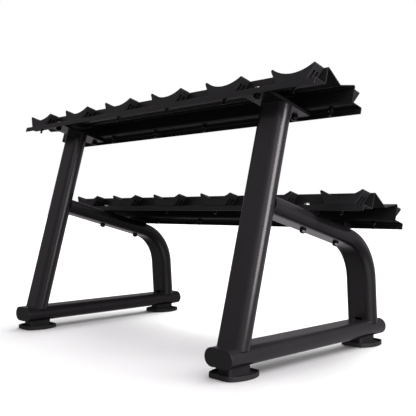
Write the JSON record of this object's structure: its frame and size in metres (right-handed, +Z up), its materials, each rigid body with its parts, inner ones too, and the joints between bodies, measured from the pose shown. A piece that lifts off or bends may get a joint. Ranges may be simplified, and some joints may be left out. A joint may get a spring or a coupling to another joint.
{
  "type": "dumbbell rack",
  "caption": "Free-standing two-tier rack for dumbbells: tilted sheet-steel trays with moulded cradles on two oval-tube end frames with rubber feet.",
  "frame": {"origin": "on the floor under the middle of the rack: the centre of the underside of its bounding box", "axes": "+X along the trays to the right of a user standing in front; +Y away from the user, to the back of the rack; +Z up. The user stands on the -Y side, towards which both tiers tip down by 15 degrees"},
  "size_m": [1.416, 0.724, 0.8039],
  "materials": {
    "frame_powder_coat": "satin black powder coat with a fine texture",
    "tray_powder_coat": "matte black powder coat on folded sheet steel",
    "saddle_plastic": "black moulded polyurethane, lightly textured",
    "cap_plastic": "black moulded plastic, satin",
    "foot_rubber": "black rubber, matte",
    "zinc_steel": "bright zinc-plated steel"
  },
  "bodies": {
    "root": {"upper_tray": "tray_powder_coat", "lower_tray": "tray_powder_coat", "upper_front_saddle_1": "saddle_plastic", "upper_front_saddle_2": "saddle_plastic", "upper_front_saddle_3": "saddle_plastic", "upper_front_saddle_4": "saddle_plastic", "upper_front_saddle_5": "saddle_plastic", "upper_front_saddle_6": "saddle_plastic", "upper_back_saddle_1": "saddle_plastic", "upper_back_saddle_2": "saddle_plastic", "upper_back_saddle_3": "saddle_plastic", "upper_back_saddle_4": "saddle_plastic", "upper_back_saddle_5": "saddle_plastic", "upper_back_saddle_6": "saddle_plastic", "lower_front_saddle_1": "saddle_plastic", "lower_front_saddle_2": "saddle_plastic", "lower_front_saddle_3": "saddle_plastic", "lower_front_saddle_4": "saddle_plastic", "lower_front_saddle_5": "saddle_plastic", "lower_front_saddle_6": "saddle_plastic", "lower_back_saddle_1": "saddle_plastic", "lower_back_saddle_2": "saddle_plastic", "lower_back_saddle_3": "saddle_plastic", "lower_back_saddle_4": "saddle_plastic", "lower_back_saddle_5": "saddle_plastic", "lower_back_saddle_6": "saddle_plastic", "left_base_tube": "frame_powder_coat", "left_upright": "frame_powder_coat", "left_leg": "frame_powder_coat", "left_top_plate": "frame_powder_coat", "left_front_spacer": "frame_powder_coat", "left_front_cap": "cap_plastic", "left_front_foot_block": "cap_plastic", "left_front_foot_pad": "foot_rubber", "left_upper_front_bolt": "zinc_steel", "left_lower_front_bolt": "zinc_steel", "left_back_spacer": "frame_powder_coat", "left_back_cap": "cap_plastic", "left_back_foot_block": "cap_plastic", "left_back_foot_pad": "foot_rubber", "left_upper_back_bolt": "zinc_steel", "left_lower_back_bolt": "zinc_steel", "right_base_tube": "frame_powder_coat", "right_upright": "frame_powder_coat", "right_leg": "frame_powder_coat", "right_top_plate": "frame_powder_coat", "right_front_spacer": "frame_powder_coat", "right_front_cap": "cap_plastic", "right_front_foot_block": "cap_plastic", "right_front_foot_pad": "foot_rubber", "right_upper_front_bolt": "zinc_steel", "right_lower_front_bolt": "zinc_steel", "right_back_spacer": "frame_powder_coat", "right_back_cap": "cap_plastic", "right_back_foot_block": "cap_plastic", "right_back_foot_pad": "foot_rubber", "right_upper_back_bolt": "zinc_steel", "right_lower_back_bolt": "zinc_steel"}
  },
  "joints": []
}
